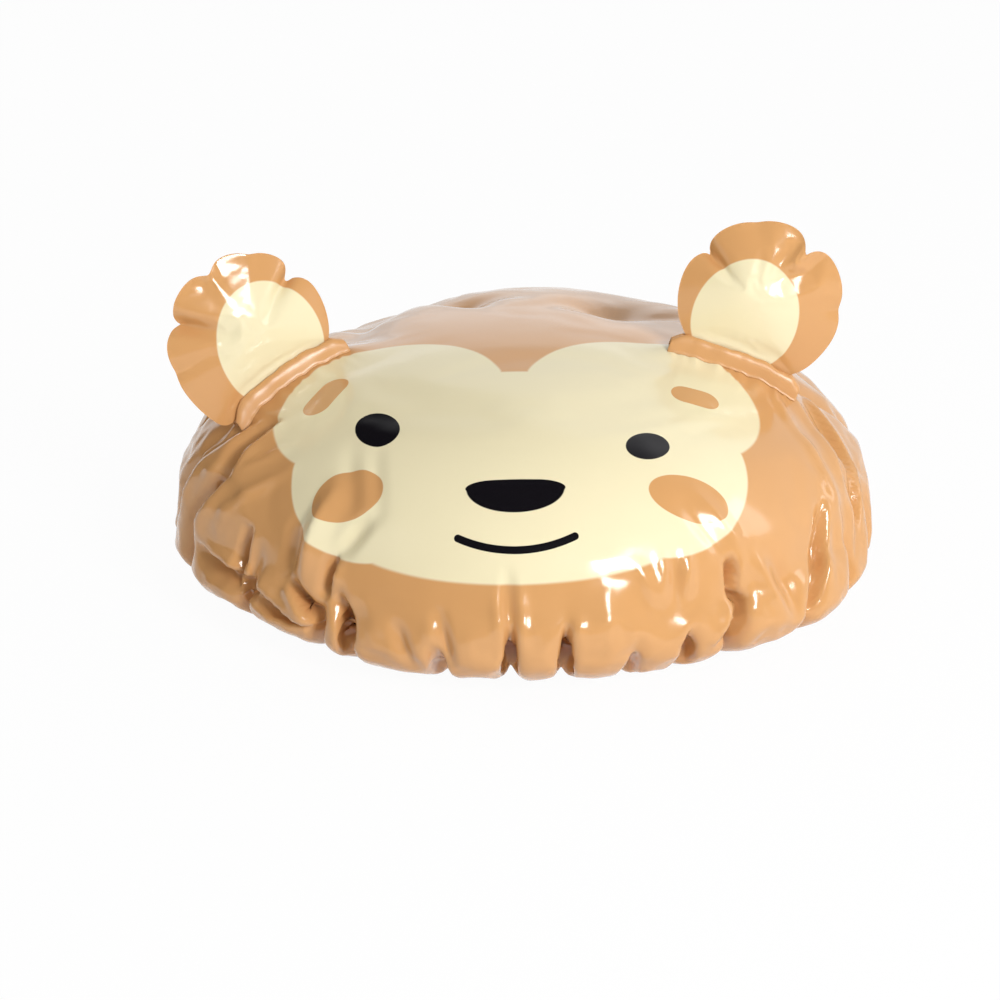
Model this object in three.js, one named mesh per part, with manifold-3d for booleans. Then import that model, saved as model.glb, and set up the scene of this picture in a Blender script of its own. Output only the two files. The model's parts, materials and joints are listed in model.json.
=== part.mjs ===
// Shower cap: a puffed crown of glossy film, gathered into a folded hem with an elastic band inside,
// and two ears, each of two film panels whose lower edge is held in a folded strip on the crown.
// Millimetres, +Z up. The origin is the middle of the mouth, on the surface that the hem rests on.
// The front of the crown looks along -Y, and left and right are those of a viewer at the front.
import * as THREE from "three";
import { mergeVertices } from "three/addons/utils/BufferGeometryUtils.js";
import Module from "manifold-3d";

const wasm = await Module();
wasm.setup();

// Film and seams
const filmThickness = 0.3;
const seamClearance = 0.3;

// Crown
const crownRadius = 135;
const crownHeight = 96;
const widestHeight = 22;
const domeFullness = 2.28;
const underFullness = 3;
const domeRingShares = [0.24, 0.5, 0.7, 0.86, 1];
const underRingShares = [0.34, 0.62, 1];

// Gathers: degrees from the front, lean in degrees on the way up, depth, and rise past the widest line
const frontGathers = [
  { degrees: -82, lean: 8, depth: 9, rise: 60 },
  { degrees: -70, lean: 4, depth: 9, rise: 40 },
  { degrees: -51, lean: 3, depth: 10, rise: 26 },
  { degrees: -34.5, lean: 2, depth: 14, rise: 14 },
  { degrees: -28.5, lean: 2, depth: 12, rise: 14 },
  { degrees: -13.6, lean: 0, depth: 5, rise: 6 },
  { degrees: -2.5, lean: 0, depth: 15, rise: 10 },
  { degrees: 6, lean: 0, depth: 13, rise: 10 },
  { degrees: 16.3, lean: 0, depth: 6, rise: 4 },
  { degrees: 25, lean: 1, depth: 9, rise: 4 },
  { degrees: 33.5, lean: 1.5, depth: 17, rise: 24 },
  { degrees: 48, lean: 8, depth: 7, rise: 30 },
  { degrees: 60, lean: 6, depth: 9, rise: 44 },
  { degrees: 72, lean: 5, depth: 8, rise: 60 },
  { degrees: 82, lean: 3, depth: 8, rise: 30 },
];
const backGatherCount = 14;
const backGatherFirstDegrees = 94;
const backGatherStepDegrees = 13;
const backGatherStagger = 2;
const backGatherDepth = 9;
const backGatherDepthSpread = 3;
const backGatherRise = 44;
const backGatherRiseSpread = 24;
const backGatherLean = 4;
const gatherFootDepth = 14;
const gatherHalfWidth = 5;
const gatherShoulder = 0.2;

// Hem
const mouthRadius = 60;
const elasticWidth = 6;
const elasticThickness = 1;
const hemGrip = 5;
const threadDiameter = 0.6;
const threadSetback = 2;
const hemColumns = 48;
const hemFoldSteps = 3;
const threadSides = 6;

// Ears
const leftEarInset = 46;
const leftEarSetForward = 24;
const leftEarTurnDegrees = -31;
const leftEarLeanDegrees = 12;
const leftEarAside = -5;
const leftEarCentreRise = 17;
const leftEarPuckerDegrees = [22, 93, 140];
const rightEarInset = 57;
const rightEarSetForward = 22;
const rightEarTurnDegrees = 6;
const rightEarLeanDegrees = 5;
const rightEarAside = 0;
const rightEarCentreRise = 21.5;
const rightEarPuckerDegrees = [68, 157];
const earRadius = 30;
const earPuff = 7;
const earWeldWidth = 2.2;
const earPuckerDepth = 4;
const earPuckerHalfDegrees = 9;
const earRimColumns = 30;
const earBaseColumns = 4;
const earPuffShares = [0.4, 0.72];

// Strips that hold the ears
const stripLength = 52;
const stripHeight = 7;
const stripWall = 0.6;
const stripGrip = 4.5;
const stripSkirt = 14;

// Sizes that follow from the ones above
const hemHeight = elasticThickness + 2 * (filmThickness + seamClearance);
const foldRadius = hemHeight / 2;
const elasticInnerRadius = mouthRadius + foldRadius;
const gripInnerRadius = elasticInnerRadius + elasticWidth + seamClearance;
const lipRadius = gripInnerRadius + hemGrip;
const gripHeight = (hemHeight - filmThickness) / 2;
const rootThickness = 2 * filmThickness;
const hingeRise = filmThickness + 1.5 * seamClearance;
const hingeHeight = stripHeight + hingeRise;
const earWeldShare = 1 - earWeldWidth / earRadius;
const leftEar = {
  x: leftEarInset - crownRadius,
  y: -leftEarSetForward,
  turnDegrees: leftEarTurnDegrees,
  leanDegrees: leftEarLeanDegrees,
  aside: leftEarAside,
  centreRise: leftEarCentreRise,
  puckerDegrees: leftEarPuckerDegrees,
};
const rightEar = {
  x: crownRadius - rightEarInset,
  y: -rightEarSetForward,
  turnDegrees: rightEarTurnDegrees,
  leanDegrees: rightEarLeanDegrees,
  aside: rightEarAside,
  centreRise: rightEarCentreRise,
  puckerDegrees: rightEarPuckerDegrees,
};

const film = new THREE.MeshStandardMaterial({ color: 0xd9a468, roughness: 0.22, metalness: 0 });
const hemFilm = new THREE.MeshStandardMaterial({ color: 0xcf9859, roughness: 0.28, metalness: 0 });
const elasticWeave = new THREE.MeshStandardMaterial({ color: 0xefe9dc, roughness: 0.9, metalness: 0 });
const thread = new THREE.MeshStandardMaterial({ color: 0xc08a4e, roughness: 0.8, metalness: 0 });

// Skins: a pole and rings of points around it, each ring with the same number of columns
function skinTriangles(skin) {
  const at = (ring, column) => 1 + ring * skin.columns + (column % skin.columns);
  const triangles = [];
  for (let column = 0; column < skin.columns; column += 1) {
    triangles.push(0, at(0, column), at(0, column + 1));
    for (let ring = 1; ring < skin.rings; ring += 1) {
      const near = at(ring - 1, column);
      const far = at(ring, column);
      const farNext = at(ring, column + 1);
      triangles.push(near, far, farNext, near, farNext, at(ring - 1, column + 1));
    }
  }
  return triangles;
}

function pointGeometry(points, triangles) {
  const geometry = new THREE.BufferGeometry().setFromPoints(points);
  geometry.setIndex(triangles);
  geometry.computeVertexNormals();
  return geometry;
}

function grownPoints(skin, distance) {
  const normals = pointGeometry(skin.points, skinTriangles(skin)).getAttribute("normal");
  return skin.points.map((point, index) =>
    new THREE.Vector3().fromBufferAttribute(normals, index).multiplyScalar(distance).add(point));
}

// A film of even thickness whose outer side is the skin
function filmShell(skin) {
  const count = skin.points.length;
  const outside = skinTriangles(skin);
  const triangles = [...outside];
  for (let corner = 0; corner < outside.length; corner += 3) {
    triangles.push(outside[corner] + count, outside[corner + 2] + count, outside[corner + 1] + count);
  }
  const rim = count - skin.columns;
  for (let column = 0; column < skin.columns; column += 1) {
    const here = rim + column;
    const next = rim + ((column + 1) % skin.columns);
    triangles.push(here, here + count, next + count, here, next + count, next);
  }
  return pointGeometry([...skin.points, ...grownPoints(skin, -filmThickness)], triangles);
}

// A solid that fills the skin, grown by a distance and closed across its last ring
function filledSkin(skin, distance) {
  const triangles = skinTriangles(skin);
  const points = grownPoints(skin, distance);
  const rim = points.length - skin.columns;
  const middle = new THREE.Vector3(0, 0, points[rim].z);
  for (let column = 0; column < skin.columns; column += 1) {
    triangles.push(points.length, rim + ((column + 1) % skin.columns), rim + column);
  }
  return pointGeometry([...points, middle], triangles);
}

// Booleans
function toManifold(geometry) {
  const bare = geometry.clone();
  bare.deleteAttribute("normal");
  bare.deleteAttribute("uv");
  const merged = mergeVertices(bare, 1e-4);
  const vertProperties = new Float32Array(merged.getAttribute("position").array);
  const triVerts = new Uint32Array(merged.getIndex().array);
  return new wasm.Manifold(new wasm.Mesh({ numProp: 3, vertProperties, triVerts }));
}

function cut(geometry, cutter) {
  const result = toManifold(geometry).subtract(toManifold(cutter)).getMesh();
  const left = new THREE.BufferGeometry();
  left.setAttribute("position", new THREE.BufferAttribute(new Float32Array(result.vertProperties), 3));
  left.setIndex(new THREE.BufferAttribute(new Uint32Array(result.triVerts), 1));
  return left;
}

function namedMesh(name, geometry, material) {
  const mesh = new THREE.Mesh(geometry, material);
  mesh.name = name;
  return mesh;
}

// Crown profile: radius and height along a line from the top, over the widest line, to the hem's lips
function domePoint(share) {
  const turn = (share * Math.PI) / 2;
  const radius = crownRadius * Math.abs(Math.sin(turn)) ** (2 / domeFullness);
  const rise = Math.abs(Math.cos(turn)) ** (2 / domeFullness);
  return new THREE.Vector2(radius, widestHeight + (crownHeight - widestHeight) * rise);
}

function underPoint(share) {
  const turn = (share * Math.PI) / 2;
  const radius = (crownRadius - lipRadius) * Math.abs(Math.cos(turn)) ** (2 / underFullness);
  const drop = (widestHeight - gripHeight) * Math.abs(Math.sin(turn)) ** (2 / underFullness);
  return new THREE.Vector2(lipRadius + radius, widestHeight - drop);
}

function domeHeight(radius) {
  const inside = 1 - (radius / crownRadius) ** domeFullness;
  return widestHeight + (crownHeight - widestHeight) * inside ** (1 / domeFullness);
}

// Length of film from a place on the dome down to the widest line
function filmAboveWidest(share) {
  const steps = 40;
  let length = 0;
  for (let step = 0; step < steps; step += 1) {
    const upper = domePoint(share + ((1 - share) * step) / steps);
    const lower = domePoint(share + ((1 - share) * (step + 1)) / steps);
    length += upper.distanceTo(lower);
  }
  return length;
}

// Each ring: its point on the profile, the way into the crown there, its height up the film from the
// widest line, and the share of their depth that the gathers keep there
function crownRings() {
  const step = 0.01;
  const inward = (profile, share) => {
    const run = profile(share + step).sub(profile(share - step)).normalize();
    return new THREE.Vector2(run.y, -run.x);
  };
  const dome = domeRingShares.map((share) => ({
    at: domePoint(share),
    inward: share < 1 ? inward(domePoint, share) : new THREE.Vector2(-1, 0),
    above: filmAboveWidest(share),
    kept: 1,
  }));
  const under = underRingShares.map((share) => ({
    at: underPoint(share),
    inward: inward(underPoint, share),
    above: -gatherFootDepth,
    kept: 1 - share ** 2,
  }));
  const heldEdge = {
    at: new THREE.Vector2(gripInnerRadius, gripHeight),
    inward: new THREE.Vector2(),
    above: -gatherFootDepth,
    kept: 0,
  };
  return [...dome, ...under, heldEdge];
}

function crownGathers() {
  const back = Array.from({ length: backGatherCount }, (_, index) => {
    const stagger = backGatherStagger * Math.sin(2.4 * index);
    return {
      degrees: backGatherFirstDegrees + backGatherStepDegrees * index + stagger,
      lean: backGatherLean * Math.sin(1.3 * index),
      depth: backGatherDepth + backGatherDepthSpread * Math.sin(1.9 * index),
      rise: backGatherRise + backGatherRiseSpread * Math.sin(2.7 * index + 1),
    };
  });
  return [...frontGathers, ...back];
}

// Four columns to a gather: its crease, a shoulder on each side and the crest halfway to the next one
function crownColumns() {
  const gathers = crownGathers();
  const shoulder = THREE.MathUtils.radToDeg(gatherHalfWidth / crownRadius);
  const again = { ...gathers[0], degrees: gathers[0].degrees + 360 };
  const columns = [];
  gathers.forEach((gather, index) => {
    const next = gathers[index + 1] ?? again;
    columns.push({ from: gather, to: gather, aside: 0, share: 1 });
    columns.push({ from: gather, to: gather, aside: shoulder, share: gatherShoulder });
    columns.push({ from: gather, to: next, aside: 0, share: 0 });
    columns.push({ from: next, to: next, aside: -shoulder, share: gatherShoulder });
  });
  return columns;
}

// How far up its own length a gather is at a ring, from 0 at its foot to 1 at its top
function gatherClimb(gather, ring) {
  return THREE.MathUtils.clamp((ring.above + gatherFootDepth) / (gather.rise + gatherFootDepth), 0, 1);
}

function gatherDegrees(gather, ring) {
  return gather.degrees + gather.lean * gatherClimb(gather, ring);
}

function crownSkin() {
  const rings = crownRings();
  const columns = crownColumns();
  const points = [new THREE.Vector3(0, 0, crownHeight)];
  for (const ring of rings) {
    for (const { from, to, aside, share } of columns) {
      const fold = 1 - THREE.MathUtils.smoothstep(gatherClimb(from, ring), 0, 1);
      const depth = from.depth * share * ring.kept * fold;
      const radius = ring.at.x + ring.inward.x * depth;
      const height = ring.at.y + ring.inward.y * depth;
      const degrees = (gatherDegrees(from, ring) + gatherDegrees(to, ring)) / 2 + aside;
      const angle = THREE.MathUtils.degToRad(degrees - 90);
      points.push(new THREE.Vector3(radius * Math.cos(angle), radius * Math.sin(angle), height));
    }
  }
  return { points, rings: rings.length, columns: columns.length };
}

// Hem: every piece is a closed section turned round the mouth
function turned(section) {
  const closed = [...section, section[0]];
  return new THREE.LatheGeometry(closed, hemColumns).rotateX(Math.PI / 2);
}

function hemSection() {
  const centre = new THREE.Vector2(mouthRadius + foldRadius, foldRadius);
  const fold = (radius) => Array.from({ length: hemFoldSteps + 1 }, (_, step) => {
    const turn = -Math.PI / 2 - (Math.PI * step) / hemFoldSteps;
    return new THREE.Vector2(centre.x + radius * Math.cos(turn), centre.y + radius * Math.sin(turn));
  });
  const outside = [
    new THREE.Vector2(lipRadius, 0),
    ...fold(foldRadius),
    new THREE.Vector2(lipRadius, hemHeight),
  ];
  const inside = [
    new THREE.Vector2(lipRadius, filmThickness),
    ...fold(foldRadius - filmThickness),
    new THREE.Vector2(lipRadius, hemHeight - filmThickness),
  ];
  return [...outside, ...inside.reverse()].reverse();
}

function elasticSection() {
  const low = (hemHeight - elasticThickness) / 2;
  const outer = elasticInnerRadius + elasticWidth;
  return [
    new THREE.Vector2(elasticInnerRadius, low),
    new THREE.Vector2(outer, low),
    new THREE.Vector2(outer, low + elasticThickness),
    new THREE.Vector2(elasticInnerRadius, low + elasticThickness),
  ];
}

function threadSection() {
  const height = hemHeight + seamClearance + threadDiameter / 2;
  const centre = new THREE.Vector2(lipRadius - threadSetback, height);
  return Array.from({ length: threadSides }, (_, side) => {
    const turn = (2 * Math.PI * side) / threadSides;
    const reach = new THREE.Vector2(Math.cos(turn), Math.sin(turn)).multiplyScalar(threadDiameter / 2);
    return reach.add(centre);
  });
}

// Ears: an outline with a straight lower edge on X, standing up along Z, from its lower left corner
function earBaseHalf(place) {
  return Math.sqrt(earRadius ** 2 - place.centreRise ** 2);
}

function earOutline(place) {
  const corner = Math.asin(place.centreRise / earRadius);
  const sweep = Math.PI + 2 * corner;
  const outline = [];
  for (let column = 0; column < earBaseColumns; column += 1) {
    outline.push(new THREE.Vector2(earBaseHalf(place) * ((2 * column) / earBaseColumns - 1), 0));
  }
  for (let column = 0; column < earRimColumns; column += 1) {
    const turn = -corner + (sweep * column) / earRimColumns;
    const degrees = THREE.MathUtils.radToDeg(turn);
    const nearest = Math.min(...place.puckerDegrees.map((at) => Math.abs(degrees - at)));
    const radius = earRadius - earPuckerDepth * Math.exp(-((nearest / earPuckerHalfDegrees) ** 2));
    outline.push(new THREE.Vector2(radius * Math.cos(turn), place.centreRise + radius * Math.sin(turn)));
  }
  return outline;
}

// One panel of an ear: facing is -1 for the front one and 1 for the back one
function earPanel(place, facing) {
  const rim = seamClearance / 2 + filmThickness;
  const outline = facing < 0 ? earOutline(place) : earOutline(place).reverse();
  const shares = [...earPuffShares, earWeldShare, 1];
  const points = [new THREE.Vector3(place.aside, facing * (rim + earPuff), place.centreRise)];
  for (const share of shares) {
    const puff = earPuff * Math.max(0, 1 - (share / earWeldShare) ** 2);
    for (const edge of outline) {
      const height = THREE.MathUtils.lerp(place.centreRise, edge.y, share);
      points.push(new THREE.Vector3(place.aside + edge.x * share, facing * (rim + puff), height));
    }
  }
  return filmShell({ points, rings: shares.length, columns: outline.length });
}

// A folded strip with a slot along its top for the ear's edge, trimmed below to the crown
function stripGeometry(crownInPlace) {
  const slotHalf = rootThickness / 2 + seamClearance;
  const half = slotHalf + stripWall;
  const section = new THREE.Shape([
    new THREE.Vector2(-half, -stripSkirt),
    new THREE.Vector2(half, -stripSkirt),
    new THREE.Vector2(half, stripHeight),
    new THREE.Vector2(slotHalf, stripHeight),
    new THREE.Vector2(slotHalf, stripHeight - stripGrip),
    new THREE.Vector2(-slotHalf, stripHeight - stripGrip),
    new THREE.Vector2(-slotHalf, stripHeight),
    new THREE.Vector2(-half, stripHeight),
  ]);
  const alongX = new THREE.Matrix4().makeBasis(
    new THREE.Vector3(0, 1, 0), new THREE.Vector3(0, 0, 1), new THREE.Vector3(1, 0, 0));
  const strip = new THREE.ExtrudeGeometry(section, { depth: stripLength, bevelEnabled: false });
  strip.translate(0, 0, -stripLength / 2).applyMatrix4(alongX);
  return cut(strip, crownInPlace);
}

// The frame of an ear: X along its base towards the viewer's right, Z up the ear, origin on the crown
function earMatrix(place) {
  const turn = THREE.MathUtils.degToRad(place.turnDegrees);
  const radius = Math.hypot(place.x, place.y);
  const step = 0.5;
  const slope = (domeHeight(radius + step) - domeHeight(radius - step)) / (2 * step);
  const plan = new THREE.Vector2(Math.cos(turn), -Math.sin(turn));
  const outward = new THREE.Vector2(place.x, place.y).divideScalar(radius);
  const along = new THREE.Vector3(plan.x, plan.y, slope * plan.dot(outward)).normalize();
  const back = new THREE.Vector3(0, 0, 1).cross(along).normalize();
  back.applyAxisAngle(along, -THREE.MathUtils.degToRad(place.leanDegrees));
  const up = along.clone().cross(back);
  const matrix = new THREE.Matrix4().makeBasis(along, back, up);
  return matrix.setPosition(place.x, place.y, domeHeight(radius));
}

function ear(name, place, filledCrown) {
  const group = new THREE.Group();
  const matrix = earMatrix(place);
  matrix.decompose(group.position, group.quaternion, group.scale);
  const crownInPlace = filledCrown.clone().applyMatrix4(matrix.clone().invert());
  group.add(namedMesh(`${name}_strip`, stripGeometry(crownInPlace), film));

  const rootDepth = stripGrip - seamClearance;
  const rootGeometry = new THREE.BoxGeometry(2 * earBaseHalf(place), rootThickness, rootDepth);
  const root = namedMesh(`${name}_root`, rootGeometry, film);
  root.position.set(place.aside, 0, stripHeight - rootDepth / 2);
  group.add(root);

  const flap = new THREE.Group();
  flap.position.z = hingeHeight;
  flap.add(namedMesh(`${name}_front`, earPanel(place, -1), film));
  flap.add(namedMesh(`${name}_back`, earPanel(place, 1), film));
  group.add(flap);
  return group;
}

const crown = crownSkin();
const filledCrown = filledSkin(crown, seamClearance);

const cap = new THREE.Group();
cap.add(namedMesh("crown_film", filmShell(crown), film));
cap.add(namedMesh("hem_binding", turned(hemSection()), hemFilm));
cap.add(namedMesh("elastic_band", turned(elasticSection()), elasticWeave));
cap.add(namedMesh("hem_stitching", turned(threadSection()), thread));
cap.add(ear("left_ear", leftEar, filledCrown));
cap.add(ear("right_ear", rightEar, filledCrown));

export default cap;
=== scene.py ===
import bpy
import bmesh
import json
import math
import random
import numpy as np
from mathutils import Matrix, Vector
from mathutils.bvhtree import BVHTree


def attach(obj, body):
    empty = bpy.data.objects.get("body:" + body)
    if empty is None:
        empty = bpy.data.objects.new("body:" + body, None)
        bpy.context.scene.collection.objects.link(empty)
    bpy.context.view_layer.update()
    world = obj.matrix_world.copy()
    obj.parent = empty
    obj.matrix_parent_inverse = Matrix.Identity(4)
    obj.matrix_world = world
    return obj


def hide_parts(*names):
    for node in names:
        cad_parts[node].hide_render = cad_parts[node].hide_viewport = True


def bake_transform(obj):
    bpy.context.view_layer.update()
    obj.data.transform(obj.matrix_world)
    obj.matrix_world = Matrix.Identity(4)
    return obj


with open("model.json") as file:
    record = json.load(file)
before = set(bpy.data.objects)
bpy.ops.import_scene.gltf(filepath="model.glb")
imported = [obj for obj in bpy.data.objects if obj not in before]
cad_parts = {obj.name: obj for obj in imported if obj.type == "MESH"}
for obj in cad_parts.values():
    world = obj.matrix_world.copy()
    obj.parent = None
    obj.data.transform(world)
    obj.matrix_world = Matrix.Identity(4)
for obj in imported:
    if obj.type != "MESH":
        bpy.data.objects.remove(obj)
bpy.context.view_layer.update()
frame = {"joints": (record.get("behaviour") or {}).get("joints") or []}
scene = bpy.context.scene
mm = 0.001
print("frame loaded")


# Shared helpers

def readPoints(mesh):
    points = np.empty(len(mesh.vertices) * 3)
    mesh.vertices.foreach_get("co", points)
    return points.reshape(-1, 3)


def writePoints(mesh, points):
    mesh.vertices.foreach_set("co", np.ascontiguousarray(points).ravel())
    mesh.update()


def smoothRamp(low, high, values):
    share = np.clip((values - low) / (high - low), 0, 1)
    return share * share * (3 - 2 * share)


def wrapTurn(turn):    # an angle brought to -pi..pi
    return np.mod(turn + np.pi, 2 * np.pi) - np.pi


def newObject(name, data):
    piece = bpy.data.objects.new(name, data)
    scene.collection.objects.link(piece)
    return piece


def openMesh(mesh):
    bm = bmesh.new()
    bm.from_mesh(mesh)
    return bm


def layFlat(bm, spots):    # each point's place on the flat film, as the layout named flat
    layout = bm.loops.layers.uv.new("flat")
    for face in bm.faces:
        for loop in face.loops:
            loop[layout].uv = spots[loop.vert.index]


def joinPairs(bm):
    bmesh.ops.join_triangles(bm, faces=bm.faces[:], angle_face_threshold=3.0, angle_shape_threshold=3.0)


def pick(items, kind):
    return [item for item in items if isinstance(item, kind)]


def inFrame(points, place):    # points as seen from a place with its own axes
    return (points - np.array(place.translation)) @ np.array(place.to_3x3())


def meshFrom(bm, name):
    mesh = bpy.data.meshes.new(name)
    bm.to_mesh(mesh)
    bm.free()
    return mesh


def finishPiece(piece, material, body=None):
    piece.data.materials.append(material)
    for face in piece.data.polygons:
        face.use_smooth = True
    if body:
        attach(piece, body)


def roundOff(piece):    # one step of subdivision
    rounder = piece.modifiers.new("round", "SUBSURF")
    rounder.levels = rounder.render_levels = 1


def thicken(piece, thickness):    # a wall of film, half of it to each side of the mesh
    wall = piece.modifiers.new("film", "SOLIDIFY")
    wall.thickness = thickness
    wall.offset = 0


def filmDisc(rings):    # an even disc of triangles: its bmesh, and each point's share of the radius and its turn
    bm = bmesh.new()
    bmesh.ops.create_circle(bm, cap_ends=True, cap_tris=True, segments=6, radius=1.0)
    bmesh.ops.subdivide_edges(bm, edges=bm.edges[:], cuts=rings - 1, use_grid_fill=True)
    bm.normal_update()
    bm.verts.index_update()
    bm.faces.ensure_lookup_table()
    if bm.faces[0].normal.z < 0:
        bmesh.ops.reverse_faces(bm, faces=bm.faces[:])
    points = np.array([vert.co[:2] for vert in bm.verts])
    size = np.hypot(points[:, 0], points[:, 1])
    turn = np.arctan2(points[:, 1], points[:, 0])
    corner = turn[np.argmax(size)]    # one of the six corners
    middle = corner + np.pi / 6 + np.floor(np.mod(turn - corner, 2 * np.pi) / (np.pi / 3) + 1e-6) * np.pi / 3
    share = size * np.cos(turn - middle) / np.cos(np.pi / 6)
    across = size * np.sin(turn - middle) / np.maximum(share * 0.5, 1e-9)
    return bm, np.clip(share, 0, 1), wrapTurn(middle + np.clip(across, -1, 1) * np.pi / 6)


def addGroup(piece, name, weights):
    group = piece.vertex_groups.new(name=name)
    for index in np.flatnonzero(weights > 1e-3):
        group.add([int(index)], float(weights[index]), "REPLACE")
    return name


filmDamping = dict(stretch=5, bend=0.5)


def settleFilm(piece, held, grown, rules, freedom=1.0):    # a short cloth run, its result put into the mesh
    start = readPoints(piece.data)
    cloth = piece.modifiers.new("settle", "CLOTH")
    film = cloth.settings
    film.quality = rules["quality"]
    film.mass = rules["mass"]
    film.tension_stiffness = film.compression_stiffness = rules["stretch"]
    film.shear_stiffness = rules["stretch"]
    film.bending_stiffness = rules["bend"]
    film.tension_damping = film.compression_damping = film.shear_damping = filmDamping["stretch"]
    film.bending_damping = filmDamping["bend"]
    film.air_damping = rules["air"]
    film.vertex_group_mass = addGroup(piece, "held", held)
    film.pin_stiffness = 1
    film.vertex_group_shrink = addGroup(piece, "snug", 1 - grown)    # the rest is cut larger than its space
    film.shrink_min = -rules["growth"]
    film.shrink_max = 0
    film.use_pressure = True
    film.uniform_pressure_force = rules["pressure"]
    if "volume" in rules:
        film.use_pressure_volume = True
        film.target_volume = rules["volume"]
        film.pressure_factor = rules["push"]
    film.effector_weights.gravity = 0    # the film stands by its own stiffness
    cloth.collision_settings.use_collision = False
    cloth.collision_settings.use_self_collision = False
    cloth.point_cache.frame_start = 1
    cloth.point_cache.frame_end = rules["frames"]
    for step in range(1, rules["frames"] + 1):
        scene.frame_set(step)
    view = bpy.context.evaluated_depsgraph_get()
    settled = bpy.data.meshes.new_from_object(piece.evaluated_get(view))
    end = readPoints(settled)
    bpy.data.meshes.remove(settled)
    piece.modifiers.clear()
    piece.vertex_groups.clear()
    scene.frame_set(1)
    move = end - start
    length = np.linalg.norm(move, axis=1)
    capped = move * (freedom * np.minimum(1, rules["cap"] / np.maximum(length, 1e-9)))[:, None]
    print(piece.name, "settled, moved up to", round(length.max() / mm, 1), "mm")
    writePoints(piece.data, start + capped)


def bakeShape(piece):    # takes the piece's modifiers into its mesh
    view = bpy.context.evaluated_depsgraph_get()
    plain = piece.data
    shaped = bpy.data.meshes.new_from_object(piece.evaluated_get(view))
    piece.modifiers.clear()
    piece.data = shaped
    bpy.data.meshes.remove(plain)


# Crown

crownShape = dict(
    radius=0.135, height=0.096, widest=0.022, fullness=2.28, underFullness=3.0, drawnIn=0.0045,
    edgeRadius=0.0695, edgeHeight=0.0012, rings=84, pleats=70, ruffle=0.0012, sway=1.5, swayCount=9,
    flatSize=0.52,    # the square that the flat disc is laid out on
    slopeStep=0.0008, unevenness=0.0001, seed=3,
    deepestSoft=0.024, deepestSharp=0.016, lowestSoft=0.0008, lowestSharp=0.0006,    # limits of both kinds of fold
)
# How gathers narrow: run below the widest line, and near the front a shallow start, because the slits come later
gatherShape = dict(
    run=0.014, frontHalf=30, frontShare=0.45, past=1.4, leastRadius=0.05, narrow=0.8, widening=0.7, edge=1.25,
)
# Each gather: degrees from the front, reach above the widest line, depth, half width, lean in degrees
frontGathers = [
    (-82, 60, 9, 4.4, 8), (-70, 40, 9, 3.6, 4), (-51, 26, 10, 3.4, 3), (-34.5, 14, 14, 2.6, 2),
    (-28.5, 14, 12, 2.5, 2), (-13.6, 6, 5, 2.8, 0), (-2.5, 10, 15, 2.3, 0), (6, 10, 13, 2.5, 0),
    (16.3, 4, 6, 2.4, 0), (25, 4, 9, 2.4, 1),
    (33.5, 24, 17, 2.9, 1.5), (48, 30, 7, 3.6, 8), (60, 44, 9, 3.6, 6), (72, 60, 8, 4.2, 5), (82, 30, 8, 3.8, 3),
]
backGathers = dict(
    count=14, first=94, step=13, stagger=2, depth=9, depthSpread=3, reach=44, reachSpread=24, width=3.8, lean=4,
)
# Each crease: degrees and millimetres down the film at its two ends, depth (less than 0 for a ridge), half width
crownCreases = [
    # left side
    (-52, 112, -61, 136, -1.6, 4), (-48.4, 121, -59.6, 151, -1.8, 4), (-56, 118, -64, 150, 1.6, 4),
    (-76, 156, -80, 178, 8, 6), (-86, 84, -94, 150, 4, 9), (-69, 112, -73, 134, 3, 6),
    # the fold beside the chin
    (-35.6, 121, -36.8, 161, -5, 8), (-26.5, 128, -31.4, 146, 3.5, 5), (-40.5, 138, -41, 160, 3, 6),
    (-30.5, 159, -27.5, 175, 8, 4.5), (-38, 104, -30, 131, 1.6, 6), (-33, 100, -25, 128, 1.2, 5),
    # front roll
    (-2.9, 143, -2, 170, 2.2, 3.2), (-4.6, 150, -3.8, 172, -1.2, 3), (-1.0, 146, -0.4, 172, -1.2, 3),
    (7.6, 158, 7.2, 176, -1.5, 4), (12, 148, 12, 178, -3, 14), (17.4, 142, 19.6, 158, -1.4, 3),
    (19.4, 146, 21.4, 161, -1.2, 3), (21.7, 140, 21.5, 155, -1.4, 3), (23.8, 142, 23.2, 158, 1.4, 4),
    (26, 141, 25, 157, -1.6, 4), (-13, 160, -11, 182, 4, 4), (-20, 166, -17, 184, 3, 4),
    # right side
    (31, 121, 36, 145, -1.6, 5), (28, 126, 32.5, 146, 1.4, 5), (38.4, 149, 42.2, 177, -2.5, 5),
    (41.6, 150, 45.4, 173, 2, 5), (73, 98, 66, 113, -1.5, 4), (66, 111, 60, 148, -1.8, 4),
    (77, 105, 64.4, 145, -1.8, 4), (79, 112, 67, 151, 1.8, 5), (71, 148, 62, 180, 3, 8), (84, 84, 92, 150, 4, 9),
]
# Each overlap: its two ends as above, then the rise and width of its right side, and the dip and width of its left
crownOverlaps = [
    (-62, 106, -60.5, 135, 2.5, 9, 10, 12), (-60.5, 133, -67, 166, 3, 8, 14, 10), (-70.5, 132, -74, 162, 2, 6, 12, 8),
    (-50.4, 147, -52, 173, 2, 7, 12, 7), (-31, 145, -32, 163, 2, 5, 12, 5.5), (-33.6, 176, -40.4, 161, 3, 6, 13, 7),
    (-64, 164, -47, 169, 2.5, 6, 8, 9), (-47.5, 168.5, -35, 178, 2.5, 6, 8, 9), (34.6, 147, 34.4, 165, 2, 6, 14, 6),
    (29, 180, 34.6, 161, 2.5, 6, 12, 8), (58.4, 142, 49, 181, 2.5, 6, 7, 8), (85, 112, 67.6, 163, 2, 5, 5, 8),
]
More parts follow.
